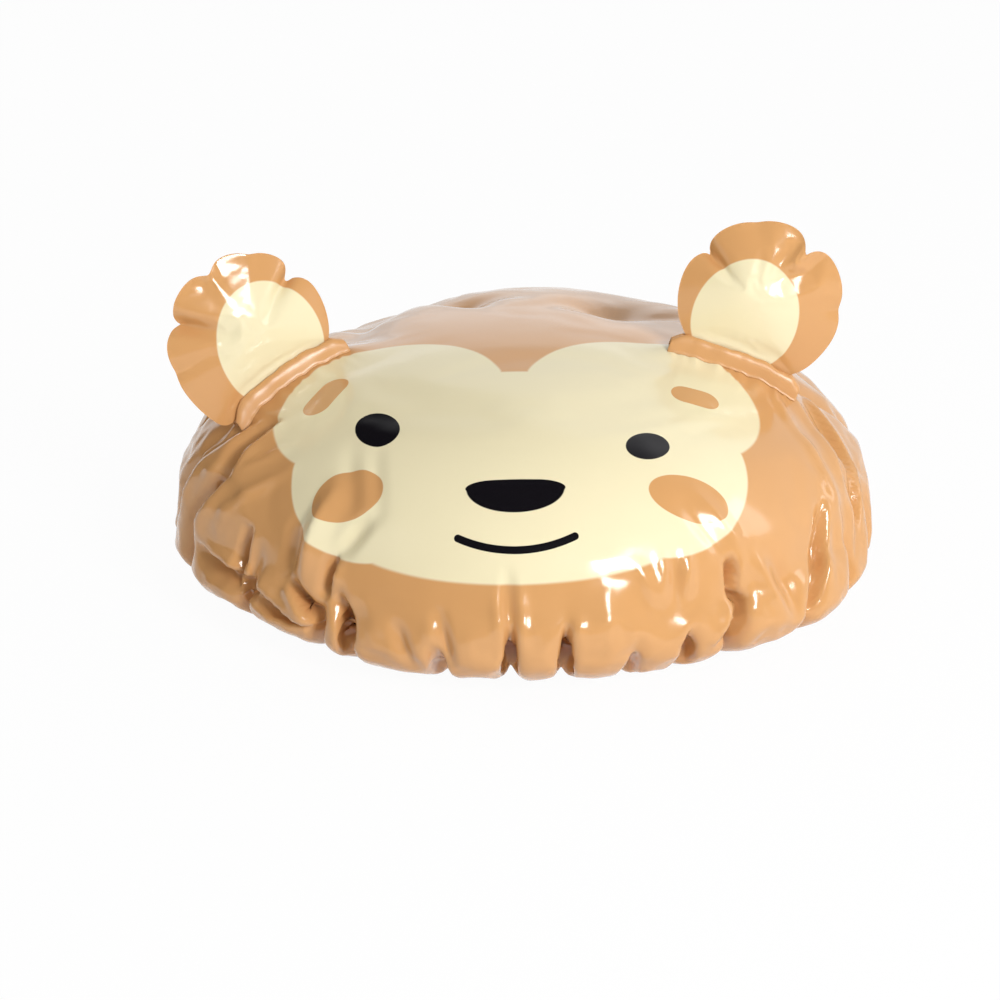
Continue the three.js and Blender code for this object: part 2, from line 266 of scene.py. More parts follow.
# Each slit where the front roll is gathered: degrees, millimetres down the film at its two ends, depth, half width
crownSlits = [
    (-28.3, 160, 190, 11, 4.5), (-13.4, 168, 196, 5, 6), (-2.5, 160, 196, 13, 3.4), (6, 158, 196, 12, 3.4),
    (16.3, 174, 196, 5, 5), (25, 168, 192, 8, 4.5),
]
# Each swell of the skirt: degrees from the front, half width in degrees, how far out
crownSwells = [(48, 20, 2.5), (0, 30, 2.0), (-50, 18, -1.5), (88, 26, -2.0), (180, 60, -1.0)]
backDents = dict(
    count=22, degrees=(100, 180), arc=(0.05, 0.15), depth=(2.0, 6.0), size=(7, 16), lean=(-0.9, 0.9), seed=5,
)
# Where the film is cut larger than its space: shares of the growth, and the degrees and arc over which it comes
crownGrowth = dict(
    skirt=dict(share=0.45, more=0.4, turn=(34, 60), arc=(-0.018, 0.008)),    # its arc is from the widest line
    side=dict(left=0.5, right=0.3, turn=(44, 66), arc=(0.1, 0.145)),
    behind=dict(share=0.12, turn=(80, 120), arc=(0.03, 0.08)),
)
# Under the ears' strips: half length, lift of the film and its spread, held width, and reach up and down
stripHold = dict(half=0.024, lift=0.0022, spread=0.007, width=0.0028, reach=0.03)
crownRules = dict(
    frames=40, quality=6, mass=0.02, stretch=40, bend=0.3, air=2, pressure=1.0,
    growth=0.2, cap=0.016,
)


def crownProfile():    # arc length, radius and height down one line of the crown, from the top to the hem
    turn = np.linspace(0, np.pi / 2, 1500)
    sine, cosine = np.clip(np.sin(turn), 0, 1), np.clip(np.cos(turn), 0, 1)
    power = 2 / crownShape["fullness"]
    rise = crownShape["height"] - crownShape["widest"]
    spread = crownShape["radius"] - crownShape["edgeRadius"]
    drop = crownShape["widest"] - crownShape["edgeHeight"]
    under = 2 / crownShape["underFullness"]
    lowRadius = crownShape["edgeRadius"] + spread * cosine[1:] ** under
    lowHeight = crownShape["widest"] - drop * sine[1:] ** under
    radius = np.append(crownShape["radius"] * sine ** power, lowRadius)
    height = np.append(crownShape["widest"] + rise * cosine ** power, lowHeight)
    arc = np.append(0, np.cumsum(np.hypot(np.diff(radius), np.diff(height))))
    return arc, radius, height, arc[len(turn) - 1]


def allGathers():
    gathers = list(frontGathers)
    for index in range(backGathers["count"]):
        degrees = backGathers["first"] + backGathers["step"] * index
        degrees = degrees + backGathers["stagger"] * math.sin(2.4 * index)
        reach = backGathers["reach"] + backGathers["reachSpread"] * math.sin(2.7 * index + 1)
        depth = backGathers["depth"] + backGathers["depthSpread"] * math.sin(1.9 * index)
        gathers.append((degrees, reach, depth, backGathers["width"], backGathers["lean"] * math.sin(1.3 * index)))
    return gathers


jointRise = 0.00775    # from an ear's base line up to its joint


def earFrame(joint, up):    # along the ear's base, to the back, up the ear, from the base line on the crown
    along = Vector(joint["axis"]).normalized()
    up = (up - along * up.dot(along)).normalized()
    turn = Matrix((along, up.cross(along), up)).transposed().to_4x4()
    return Matrix.Translation(Vector(joint["pos_m"]) - up * jointRise) @ turn


joints = {joint["name"]: joint for joint in frame["joints"]}
earFrames = dict(
    left=earFrame(joints["left_ear_fold"], Vector((-0.444, -0.0242, 0.8957))),
    right=earFrame(joints["right_ear_fold"], Vector((0.3338, 0.0525, 0.9412))),
)


def alongLine(ends, front, arc):    # how far along a line on the film, how far beside it, and to its right
    startTurn, startArc, endTurn, endArc = ends
    arcs, radii = crownProfile()[:2]
    middle = math.radians((startTurn + endTurn) / 2)
    half = math.radians((endTurn - startTurn) / 2)
    across = wrapTurn(front - middle) * np.maximum(np.interp(arc, arcs, radii), 0.03)
    size = np.interp([startArc * mm, endArc * mm], arcs, radii)
    start = np.array([-half * size[0], startArc * mm])
    run = np.array([half * size[1], endArc * mm]) - start
    share = np.clip(((across - start[0]) * run[0] + (arc - start[1]) * run[1]) / (run @ run), 0, 1)
    aside = np.hypot(across - start[0] - share * run[0], arc - start[1] - share * run[1])
    right = ((across - start[0]) * run[1] - (arc - start[1]) * run[0]) / np.hypot(*run)
    return share, aside, right


def sharpFolds(front, arc):    # how far creases and overlaps take the settled film in
    total = np.zeros(len(arc))
    for *ends, depth, width in crownCreases:
        share, aside, right = alongLine(ends, front, arc)
        slope = np.clip(1 - aside / (width * mm), 0, 1)    # flat sides that meet in a sharp line
        total += depth * mm * (0.25 + 0.75 * np.sin(np.pi * share)) * slope ** 1.2
    for *ends, rise, riseWidth, dip, dipWidth in crownOverlaps:
        share, aside, right = alongLine(ends, front, arc)
        over = smoothRamp(-0.0018, 0.0008, right)
        high = np.clip(1 - aside / (riseWidth * mm), 0, 1)
        low = np.clip(1 - aside / (dipWidth * mm), 0, 1)
        total += mm * np.sin(np.pi * share) ** 0.6 * (dip * low ** 1.3 * (1 - over) - rise * high ** 1.3 * over)
    for degrees, startArc, endArc, depth, width in crownSlits:
        share, aside, right = alongLine((degrees, startArc, degrees, endArc), front, arc)
        slope = np.clip(1 - aside / (width * mm * (0.35 + 0.65 * share)), 0, 1)
        total += depth * mm * smoothRamp(0, 0.7, share) * slope ** 1.1
    return total


def stripPuckers(points):    # small gathers where the film is sewn into the ears' strips
    total = np.zeros(len(points))
    for place in earFrames.values():
        across, back, up = inFrame(points, place).T
        near = np.exp(-np.abs(np.abs(back) - 0.0045) / 0.0045) * (np.abs(across) < 0.025) * (np.abs(up) < 0.02)
        total += 0.0006 * near * (np.sin(across * 1050 + 2 * np.sin(across * 310)) + 0.4)
    return total


def softFolds(front, arc, radius, widestArc):    # how far gathers, dents and swells take the film in
    fold = np.zeros(len(arc))
    run = gatherShape["run"]
    for degrees, reach, depth, width, lean in allGathers():
        if abs(degrees) < gatherShape["frontHalf"]:
            depth = depth * gatherShape["frontShare"]
        climb = np.clip((widestArc + run - arc) / (reach * mm + run), 0, gatherShape["past"])
        aside = wrapTurn(front - math.radians(degrees) - math.radians(lean) * climb)
        aside = aside * np.maximum(radius, gatherShape["leastRadius"])
        spread = width * mm * (gatherShape["narrow"] + gatherShape["widening"] * climb)
        fold += depth * mm * (1 - smoothRamp(0, 1, climb)) * np.exp(-(np.abs(aside) / spread) ** gatherShape["edge"])
    dice = random.Random(backDents["seed"])
    for count in range(backDents["count"]):
        degrees = dice.uniform(*backDents["degrees"]) * dice.choice((-1, 1))
        down = dice.uniform(*backDents["arc"])
        depth = dice.uniform(*backDents["depth"]) * mm
        reach = dice.uniform(*backDents["size"]) * mm
        lean = dice.uniform(*backDents["lean"])
        aside = wrapTurn(front - math.radians(degrees)) * np.maximum(radius, 0.03)
        ahead = (arc - down) * math.cos(lean) + aside * math.sin(lean)
        aside = aside * math.cos(lean) - (arc - down) * math.sin(lean)
        fold += depth * np.exp(-(aside / reach) ** 2 - (ahead / (reach * 2)) ** 2)
    for degrees, half, out in crownSwells:
        near = np.exp(-(np.degrees(wrapTurn(front - math.radians(degrees))) / half) ** 2)
        fold -= out * mm * near * smoothRamp(0.09, widestArc, arc)
    past = smoothRamp(widestArc, widestArc + 0.04, arc)
    return fold + crownShape["drawnIn"] * smoothRamp(0.085, widestArc, arc) * (1 - past)


def cutLarger(front, arc, widestArc):    # how much of the growth the film has at each place
    away = np.abs(np.degrees(front))
    skirt, side, behind = crownGrowth["skirt"], crownGrowth["side"], crownGrowth["behind"]
    low, high = skirt["arc"]
    more = skirt["share"] + skirt["more"] * smoothRamp(*skirt["turn"], away)
    most = np.where(front < 0, side["left"], side["right"])
    return np.clip(np.maximum.reduce([
        smoothRamp(widestArc + low, widestArc + high, arc) * more,
        most * smoothRamp(*side["turn"], away) * smoothRamp(*side["arc"], arc),
        behind["share"] * smoothRamp(*behind["turn"], away) * smoothRamp(*behind["arc"], arc),
    ]), 0, 1)


def liftForStrips(points, held):    # the ears' strips lift the film along their base lines, and hold it there
    for place in earFrames.values():
        local = inFrame(points, place)
        near = np.hypot(np.maximum(np.abs(local[:, 0]) - stripHold["half"], 0), local[:, 1])
        level = np.abs(local[:, 2]) < stripHold["reach"]
        lift = stripHold["lift"] * np.exp(-(near / stripHold["spread"]) ** 2) * level
        points += lift[:, None] * np.array(place.to_3x3().col[2])
        held = np.maximum(held, ((near < stripHold["width"]) & level).astype(float))
    return held


def drawnDome(share, turn):    # the crown's points before it settles, with its arc, held places and growth
    arcs, radii, heights, widestArc = crownProfile()
    whole = arcs[-1]
    arc = share * whole
    radius = np.interp(arc, arcs, radii)
    height = np.interp(arc, arcs, heights)
    ahead = np.minimum(arc + crownShape["slopeStep"], whole)
    behind = np.maximum(arc - crownShape["slopeStep"], 0)
    run = np.interp(ahead, arcs, radii) - np.interp(behind, arcs, radii)
    fall = np.interp(ahead, arcs, heights) - np.interp(behind, arcs, heights)
    slope = np.maximum(np.hypot(run, fall), 1e-9)
    inRadius, inHeight = fall / slope, -run / slope    # the way into the crown
    front = wrapTurn(turn + np.pi / 2)
    held = smoothRamp(whole - 0.004, whole - 0.001, arc)
    fold = np.minimum(softFolds(front, arc, radius, widestArc), crownShape["deepestSoft"])
    fold = fold * (1 - 0.7 * smoothRamp(widestArc + 0.014, whole - 0.01, arc)) * (1 - held)
    radius = radius + inRadius * fold
    height = np.maximum(height + inHeight * fold, crownShape["lowestSoft"])
    ruffle = smoothRamp(whole - 0.012, whole - 0.002, arc)    # the edge is gathered small inside the hem
    wave = crownShape["pleats"] * turn + crownShape["sway"] * np.sin(crownShape["swayCount"] * turn)
    radius = radius + crownShape["ruffle"] * ruffle * np.sin(wave)
    height = height + 0.3 * crownShape["ruffle"] * ruffle * np.cos(wave)
    grown = cutLarger(front, arc, widestArc)
    dice = np.random.default_rng(crownShape["seed"])
    points = np.stack([radius * np.cos(turn), radius * np.sin(turn), height], 1)
    points += dice.normal(0, crownShape["unevenness"], points.shape) * (grown * (1 - held))[:, None]
    held = liftForStrips(points, held)
    return points, arc, held, grown


def foldFinerFilm(piece):    # the finer film takes its sharp folds
    points = readPoints(piece.data)
    outward = np.zeros(points.size)
    piece.data.vertex_normals.foreach_get("vector", outward)
    corners = np.zeros(len(piece.data.loops), dtype=int)
    piece.data.loops.foreach_get("vertex_index", corners)
    spots = np.zeros(len(corners) * 2)
    piece.data.uv_layers["flat"].uv.foreach_get("vector", spots)
    flat = np.zeros((len(points), 2))
    flat[corners] = (spots.reshape(-1, 2) - 0.5) * crownShape["flatSize"]
    arc = np.hypot(flat[:, 0], flat[:, 1])
    front = wrapTurn(np.arctan2(flat[:, 1], flat[:, 0]) + np.pi / 2)
    whole = crownProfile()[0][-1]
    free = 1 - smoothRamp(whole - 0.02, whole - 0.006, arc)
    inward = sharpFolds(front, arc) * free + stripPuckers(points)
    points -= outward.reshape(-1, 3) * np.minimum(inward, crownShape["deepestSharp"])[:, None]
    points[:, 2] = np.maximum(points[:, 2], crownShape["lowestSharp"])
    writePoints(piece.data, points)
    bm = openMesh(piece.data)
    inner = [vert for vert in bm.verts if not vert.is_boundary]
    bmesh.ops.smooth_vert(bm, verts=inner, factor=0.4, use_axis_x=True, use_axis_y=True, use_axis_z=True)
    bm.to_mesh(piece.data)
    bm.free()
    foldShade = piece.data.attributes.new("paintedFoldShade", "FLOAT", "POINT")    # painted shade: how far the film's colour is darkened down in a fold, where shade falls
    foldShade.data.foreach_set("value", smoothRamp(0.0015, 0.012, inward))


def makeCrown():
    bm, share, turn = filmDisc(crownShape["rings"])
    points, arc, held, grown = drawnDome(share, turn)
    piece = newObject("crown", meshFrom(bm, "crown"))
    flat = np.stack([arc * np.cos(turn), arc * np.sin(turn)], 1) / crownShape["flatSize"] + 0.5
    writePoints(piece.data, points)
    settleFilm(piece, held, grown, crownRules, 0.3 + 0.7 * smoothRamp(0, 0.35, grown))
    bm = openMesh(piece.data)
    layFlat(bm, flat)
    joinPairs(bm)
    bm.to_mesh(piece.data)
    bm.free()
    roundOff(piece)
    bakeShape(piece)
    foldFinerFilm(piece)
    print("crown made,", len(piece.data.polygons), "faces")
    return piece


def groundHeight(place, across, back):    # the film's height under a place beside an ear's base line
    spot = crownTree.ray_cast(place @ Vector((across, back, 0.02)), -Vector(place.to_3x3().col[2]), 0.06)[0]
    return (place.inverted() @ spot).z if spot is not None else 0


crown = makeCrown()
crownTree = BVHTree.FromObject(crown, bpy.context.evaluated_depsgraph_get())


# Ears: two flat panels welded round their rim and blown up a little

earShape = dict(
    rings=24, foot=0.0036, heldAbove=0.0025, startPuff=0.002, weld=0.0003, bendFrom=0.006, bendTo=0.017,
    flatSize=0.1, flatMiddle=(0.5, 0.1),
    creaseFrom=0.4, creaseRun=0.5, creaseDepth=0.45, creaseWidth=0.55,    # the puckers go on into the ear
    followFrom=0.004, followRun=0.018, followHalf=0.026, followShare=0.85,    # its lower edge follows the crown
    left=dict(aside=-0.005, centre=0.0247, radius=0.0322), right=dict(aside=0.0, centre=0.0293, radius=0.0312),
)
# Each pucker of the rim: degrees round the ear's middle, depth, half width in degrees, push to the back
earPuckers = dict(
    left=[(140, 6.0, 8, 2.2), (93, 3.6, 7, -1.5), (22, 6.0, 7, 1.8), (60, 1.2, 8, -0.6), (176, 1.4, 9, 0.8)],
    right=[(157, 4.2, 8, 1.8), (68, 6.0, 8, -1.8), (112, 1.0, 9, 0.6), (12, 1.6, 9, 0.8)],
)
earRules = dict(
    frames=26, quality=8, mass=0.004, stretch=30, bend=0.25, air=3, pressure=0.0,
    growth=0.0, cap=0.03, volume=3.6e-5, push=4,
)


def earOutline(turn, side):    # the rim's distance from the ear's middle
    size = earShape[side]
    low = np.maximum(-np.sin(turn), 1e-6)
    reach = np.minimum(size["radius"], np.where(np.sin(turn) < 0, (size["centre"] - earShape["foot"]) / low, 1))
    for degrees, depth, half, push in earPuckers[side]:
        aside = np.degrees(wrapTurn(turn - math.radians(degrees)))
        reach = reach - depth * mm * np.exp(-np.abs(aside / half) ** 1.4)
    return reach


def makeEar(side):
    bm, share, turn = filmDisc(earShape["rings"])
    reach = earOutline(turn, side) * share
    middle = [earShape[side]["aside"], earShape[side]["centre"]]
    flat = np.stack([reach * np.cos(turn), reach * np.sin(turn)], 1) + middle
    layFlat(bm, flat / earShape["flatSize"] + earShape["flatMiddle"])
    lean = np.zeros(len(share))
    for degrees, depth, half, push in earPuckers[side]:
        aside = np.degrees(wrapTurn(turn - math.radians(degrees)))
        lean += push * mm * np.exp(-(aside / (1.6 * half)) ** 2) * share ** 3
    for vert in bm.verts:
        puff = earShape["startPuff"] * (1 - share[vert.index] ** 2)
        vert.co = (flat[vert.index][0], lean[vert.index] - puff, flat[vert.index][1])
    panel = bm.faces.layers.int.new("panel")
    fronts = bm.verts[:]
    double = bmesh.ops.duplicate(bm, geom=bm.verts[:] + bm.edges[:] + bm.faces[:])
    for face in pick(double["geom"], bmesh.types.BMFace):
        face[panel] = 1
    for vert in fronts:
        double["vert_map"][vert].co.y += 2 * earShape["startPuff"] * (1 - share[vert.index] ** 2)
    bmesh.ops.remove_doubles(bm, verts=bm.verts[:], dist=1e-6)
    bmesh.ops.recalc_face_normals(bm, faces=bm.faces[:])
    piece = newObject(side + "EarBalloon", meshFrom(bm, side + "EarBalloon"))
    points = readPoints(piece.data)
    held = (points[:, 2] < earShape["foot"] + earShape["heldAbove"]).astype(float)
    settleFilm(piece, held, np.zeros(len(points)), earRules)
    bm = openMesh(piece.data)
    bpy.data.objects.remove(piece)
    panel = bm.faces.layers.int["panel"]
    rim = [edge for edge in bm.edges if len({face[panel] for face in edge.link_faces}) == 2]
    outward = {}
    for vert in {vert for edge in rim for vert in edge.verts}:
        inner = [edge.other_vert(vert) for edge in vert.link_edges if edge not in rim]
        outward[vert] = sum((vert.co - other.co for other in inner), Vector()).normalized()
    upper = [edge for edge in rim if min(vert.co.z for vert in edge.verts) > earShape["foot"] + 0.0005]
    grown = bmesh.ops.extrude_edge_only(bm, edges=upper)
    for vert in pick(grown["geom"], bmesh.types.BMVert):
        source = min(outward, key=lambda other: (other.co - vert.co).length_squared)
        vert.co += outward[source] * earShape["weld"]
    for face in pick(grown["geom"], bmesh.types.BMFace):
        face[panel] = 2    # the weld, kept with the front panel
    for vert in bm.verts:
        aside, up = vert.co.x - middle[0], vert.co.z - middle[1]
        turn, reach = math.atan2(up, aside), math.hypot(aside, up)
        out = min(max((reach / earShape[side]["radius"] - earShape["creaseFrom"]) / earShape["creaseRun"], 0), 1)
        for degrees, depth, half, push in earPuckers[side]:
            near = abs(math.remainder(turn - math.radians(degrees), 2 * math.pi)) * reach
            slope = max(1 - near / (earShape["creaseWidth"] * half * mm), 0)
            vert.co.y += earShape["creaseDepth"] * depth * mm * math.copysign(out, push) * slope
        loose = min(max((vert.co.z - earShape["followFrom"]) / earShape["followRun"], 0), 1)
        across = min(max(vert.co.x, -earShape["followHalf"]), earShape["followHalf"])
        ground = groundHeight(earFrames[side], across, 0)
        vert.co.z += earShape["followShare"] * ground * (1 - loose * loose * (3 - 2 * loose))
    bmesh.ops.transform(bm, matrix=earFrames[side], verts=bm.verts[:])
    panels = []
    for number, name in enumerate(("Front", "Back")):
        half = bm.copy()
        panel = half.faces.layers.int["panel"]
        gone = [face for face in half.faces if (face[panel] == 1) != (number == 1)]
        bmesh.ops.delete(half, geom=gone, context="FACES")
        bmesh.ops.recalc_face_normals(half, faces=half.faces[:])
        facing = sum((face.normal * face.calc_area() for face in half.faces), Vector())
        if facing.dot(Vector(earFrames[side].to_3x3().col[1])) * (number - 0.5) < 0:
            bmesh.ops.reverse_faces(half, faces=half.faces[:])
        joinPairs(half)
        part = newObject(side + "Ear" + name, meshFrom(half, side + "Ear" + name))
        roundOff(part)
        panels.append(part)
    bm.free()
    print(side, "ear made")
    return panels


earPanels = {side: makeEar(side) for side in earFrames}


# Strips: a folded tuck of film on the crown for each ear's lower edge

stripShape = dict(
    length=0.052, columns=40, thickness=0.0004, height=0.006, wave=0.0005, sink=0.0001, slack=0.15,
    endLength=0.0045, endDrop=0.35,    # the strip gets lower near its ends
)
# The fold across a strip, from its front foot over the slot to its back foot: to the back, and up
stripFold = [
    (-3.7, 0), (-3.35, 0.3), (-3.2, 1.0), (-3.15, 2.2), (-3.0, 3.6), (-2.6, 5.0), (-2.0, 5.9), (-1.35, 6.1),
    (-0.9, 5.7), (-0.66, 4.9), (-0.58, 3.8), (-0.42, 3.0), (0, 2.7), (0.42, 3.0), (0.58, 3.8), (0.66, 4.9),
    (0.9, 5.7), (1.35, 6.1), (2.0, 5.9), (2.6, 5.0), (3.0, 3.6), (3.15, 2.2), (3.2, 1.0), (3.35, 0.3), (3.7, 0),
]


def makeStrip(side):
    place = earFrames[side]
    bm = bmesh.new()
    half = stripShape["length"] / 2
    row = [bm.verts.new((-half, back * mm, up * mm)) for back, up in stripFold]
    edges = [bm.edges.new(pair) for pair in zip(row, row[1:])]
    for column in range(stripShape["columns"]):
        grown = bmesh.ops.extrude_edge_only(bm, edges=edges)["geom"]
        moved = pick(grown, bmesh.types.BMVert)
        edges = [edge for edge in pick(grown, bmesh.types.BMEdge) if set(edge.verts) <= set(moved)]
        bmesh.ops.translate(bm, verts=moved, vec=(stripShape["length"] / stripShape["columns"], 0, 0))
    for vert in bm.verts:
        x, back, up = vert.co
        high = min(max(up / stripShape["height"], 0), 1)
        up *= 1 - stripShape["endDrop"] * smoothRamp(half - stripShape["endLength"], half, abs(x))
        ground = groundHeight(place, x, back * (1 - high))
        wave = stripShape["wave"] * (math.sin(x * 260) + 0.6 * math.sin(x * 610 + 1.3))
        ground *= 1 - stripShape["slack"] * high
        vert.co.y = back + wave * 0.5 * high
        vert.co.z = ground + up + stripShape["sink"] * (1 - high) + wave * 0.4 * high
    bmesh.ops.recalc_face_normals(bm, faces=bm.faces[:])
    bmesh.ops.transform(bm, matrix=place, verts=bm.verts[:])
    piece = newObject(side + "EarStrip", meshFrom(bm, side + "EarStrip"))
    thicken(piece, stripShape["thickness"])
    roundOff(piece)
    print(side, "strip made")
    return piece


earStrips = {side: makeStrip(side) for side in earFrames}


# Hem: a folded channel round the mouth, gathered on its elastic and closed with a row of stitches

hemShape = dict(
    mouth=0.060, lip=0.0724, height=0.0022, pleats=70, turns=560, ruffle=0.0011, sway=0.0012, thickness=0.0003,
    lipRun=0.005, foldRun=0.004, looseRun=0.012, seed=8,
)
elasticShape = dict(inner=0.0611, width=0.006, low=0.0006, thickness=0.001, turns=180, edge=0.0003)
stitchShape = dict(radius=0.0704, height=0.0028, count=132, length=0.0027, thickness=0.00055, slant=0.12)


def spinRound(bm, edges, turns):
    bmesh.ops.spin(bm, geom=edges + list({vert for edge in edges for vert in edge.verts}), cent=(0, 0, 0),
                   axis=(0, 0, 1), dvec=(0, 0, 0), angle=2 * math.pi, steps=turns, use_merge=True, use_duplicate=False)
    bmesh.ops.remove_doubles(bm, verts=bm.verts[:], dist=1e-6)
    bmesh.ops.recalc_face_normals(bm, faces=bm.faces[:])


def makeHem():
    bm = bmesh.new()
    fold = hemShape["height"] / 2
    flat = [hemShape["lip"], hemShape["lip"] - hemShape["lipRun"], hemShape["mouth"] + hemShape["foldRun"]]
    line = [(radius, 0) for radius in flat]
    for degrees in range(-90, -271, -36):
        turn = math.radians(degrees)
        line.append((hemShape["mouth"] + fold + fold * math.cos(turn), fold + fold * math.sin(turn)))
    line += [(radius, 2 * fold) for radius in reversed(flat)]
    verts = [bm.verts.new((radius, 0, height)) for radius, height in line]
    spinRound(bm, [bm.edges.new(pair) for pair in zip(verts, verts[1:])], hemShape["turns"])
    dice = random.Random(hemShape["seed"])
    sways = [(count, dice.uniform(0, 6.28), dice.uniform(0.4, 1)) for count in (5, 9, 14, 23)]
    for vert in bm.verts:
        turn = math.atan2(vert.co.y, vert.co.x)
        radius = math.hypot(vert.co.x, vert.co.y)
        drift = sum(size * math.sin(count * turn + start) for count, start, size in sways)
        pleat = math.sin(hemShape["pleats"] * turn + 1.4 * drift)
        depth = 0.55 + 0.35 * math.sin(13 * turn + drift)
        loose = min(max((radius - hemShape["mouth"]) / hemShape["looseRun"], 0), 1)
        rise = 0.55 if vert.co.z > fold else 0.35    # the upper side rises more
        vert.co.z += hemShape["ruffle"] * depth * (1 + pleat) * (0.3 + 0.7 * loose) * rise
        vert.co.z += hemShape["thickness"] / 2
        reach = 1 + hemShape["sway"] * depth * pleat * (0.5 - loose) / radius
        vert.co.x *= reach
        vert.co.y *= reach
    piece = newObject("hem", meshFrom(bm, "hem"))
    thicken(piece, hemShape["thickness"])
    print("hem made")
    return piece


def makeElastic():
    bm = bmesh.new()
    low, high = elasticShape["low"], elasticShape["low"] + elasticShape["thickness"]
    inner, outer = elasticShape["inner"], elasticShape["inner"] + elasticShape["width"]
    verts = [bm.verts.new(place) for place in ((inner, 0, low), (outer, 0, low), (outer, 0, high), (inner, 0, high))]
    edges = [bm.edges.new((verts[index], verts[(index + 1) % 4])) for index in range(4)]
    spinRound(bm, edges, elasticShape["turns"])
    rails = [edge for edge in bm.edges if abs(edge.verts[0].co.z - edge.verts[1].co.z) < 1e-7
             and abs(edge.verts[0].co.xy.length - edge.verts[1].co.xy.length) < 1e-6]
    bmesh.ops.bevel(bm, geom=rails, offset=elasticShape["edge"], offset_type="OFFSET", segments=2,
                    profile=0.5, affect="EDGES", material=-1)
    print("elastic made")
    return newObject("elastic", meshFrom(bm, "elastic"))


def makeStitches():
    bm = bmesh.new()
    for index in range(stitchShape["count"]):
        turn = 2 * math.pi * index / stitchShape["count"]
        seed = bmesh.ops.create_uvsphere(bm, u_segments=8, v_segments=5, radius=0.5)["verts"]
        size = (stitchShape["thickness"], stitchShape["length"], stitchShape["thickness"])
        place = Matrix.Rotation(turn, 4, "Z") @ Matrix.Translation((stitchShape["radius"], 0, stitchShape["height"]))
        bmesh.ops.scale(bm, vec=size, verts=seed)
        bmesh.ops.transform(bm, matrix=place @ Matrix.Rotation(stitchShape["slant"], 4, "Z"), verts=seed)
    print("stitches made")
    return newObject("stitches", meshFrom(bm, "stitches"))


hem = makeHem()
elastic = makeElastic()
stitches = makeStitches()


# Materials

tan = (0.66, 0.345, 0.135, 1)
cream = (0.86, 0.77, 0.51, 1)
foldShadeTan = (0.5, 0.24, 0.1, 1)    # painted shade: a darker tan that stands for the shade down in a deep fold
ink = (0.006, 0.005, 0.007, 1)
hemTan = (0.6, 0.3, 0.11, 1)
elasticColours = (0.74, 0.69, 0.6, 1), (0.9, 0.86, 0.78, 1)
threadColours = (0.4, 0.18, 0.06, 1), (0.58, 0.3, 0.11, 1)


def newGroup(name, inputs, outputs):
    group = bpy.data.node_groups.new(name, "ShaderNodeTree")
    for label, kind, value in inputs:
        socket = group.interface.new_socket(label, in_out="INPUT", socket_type="NodeSocket" + kind)
        if value is not None:
            socket.default_value = value
    for label, kind in outputs:
        group.interface.new_socket(label, in_out="OUTPUT", socket_type="NodeSocket" + kind)
    return group, group.nodes.new("NodeGroupInput").outputs, group.nodes.new("NodeGroupOutput").inputs


def feed(tree, value, socket):    # a link from another socket, or the socket's own value
    if isinstance(value, bpy.types.NodeSocket):
        tree.links.new(value, socket)
    else:
        socket.default_value = value


def feedAll(tree, node, **values):
    for label, value in values.items():
        feed(tree, value, node.inputs[label.replace("_", " ")])


def addNode(tree, kind):
    return tree.nodes.new("ShaderNode" + kind)


def objectPlace(tree):
    return addNode(tree, "TexCoord").outputs["Object"]


def mathNode(tree, operation, *values):
    node = addNode(tree, "Math")
    node.operation = operation
    for socket, value in zip(node.inputs, values):
        feed(tree, value, socket)
    return node.outputs[0]


def lengthNode(tree, first, second):    # the long side of a right angle
    squares = mathNode(tree, "MULTIPLY", first, first), mathNode(tree, "MULTIPLY", second, second)
    return mathNode(tree, "SQRT", mathNode(tree, "ADD", *squares))


def stepNode(tree, value, low, high):    # 1 below low, 0 above high
    node = addNode(tree, "MapRange")
    node.interpolation_type = "SMOOTHSTEP"
    feedAll(tree, node, Value=value, From_Min=low, From_Max=high, To_Min=1, To_Max=0)
    return node.outputs["Result"]


def turnedPlace(group, given):    # how far along and aside of a mark's own middle and turn
    split = addNode(group, "SeparateXYZ")
    group.links.new(given["Place"], split.inputs[0])
    x = mathNode(group, "SUBTRACT", split.outputs["X"], given["Across"])
    y = mathNode(group, "SUBTRACT", split.outputs["Y"], given["Up"])
    cosine = mathNode(group, "COSINE", given["Turn"])
    sine = mathNode(group, "SINE", given["Turn"])
    along = mathNode(group, "MULTIPLY", x, cosine), mathNode(group, "MULTIPLY", y, sine)
    aside = mathNode(group, "MULTIPLY", y, cosine), mathNode(group, "MULTIPLY", x, sine)
    return mathNode(group, "ADD", *along), mathNode(group, "SUBTRACT", *aside)


def makeMarkGroup(name, sizes):
    inputs = [("Place", "Vector", None), ("Across", "Float", 0), ("Up", "Float", 0), ("Turn", "Float", 0)]
    return newGroup(name, inputs + [(label, "Float", value) for label, value in sizes], [("Mask", "Float")])


def makeSpotGroup():    # an oval or pill of print, on the flat film
    group, given, out = makeMarkGroup("printSpot", [("Half Width", 0.01), ("Half Height", 0.01), ("Straight", 0)])
    along, aside = turnedPlace(group, given)
    past = mathNode(group, "SUBTRACT", mathNode(group, "ABSOLUTE", along), given["Straight"])
    first = mathNode(group, "DIVIDE", mathNode(group, "MAXIMUM", past, 0.0), given["Half Width"])
    second = mathNode(group, "DIVIDE", aside, given["Half Height"])
    group.links.new(stepNode(group, lengthNode(group, first, second), 0.985, 1.015), out["Mask"])
    return group


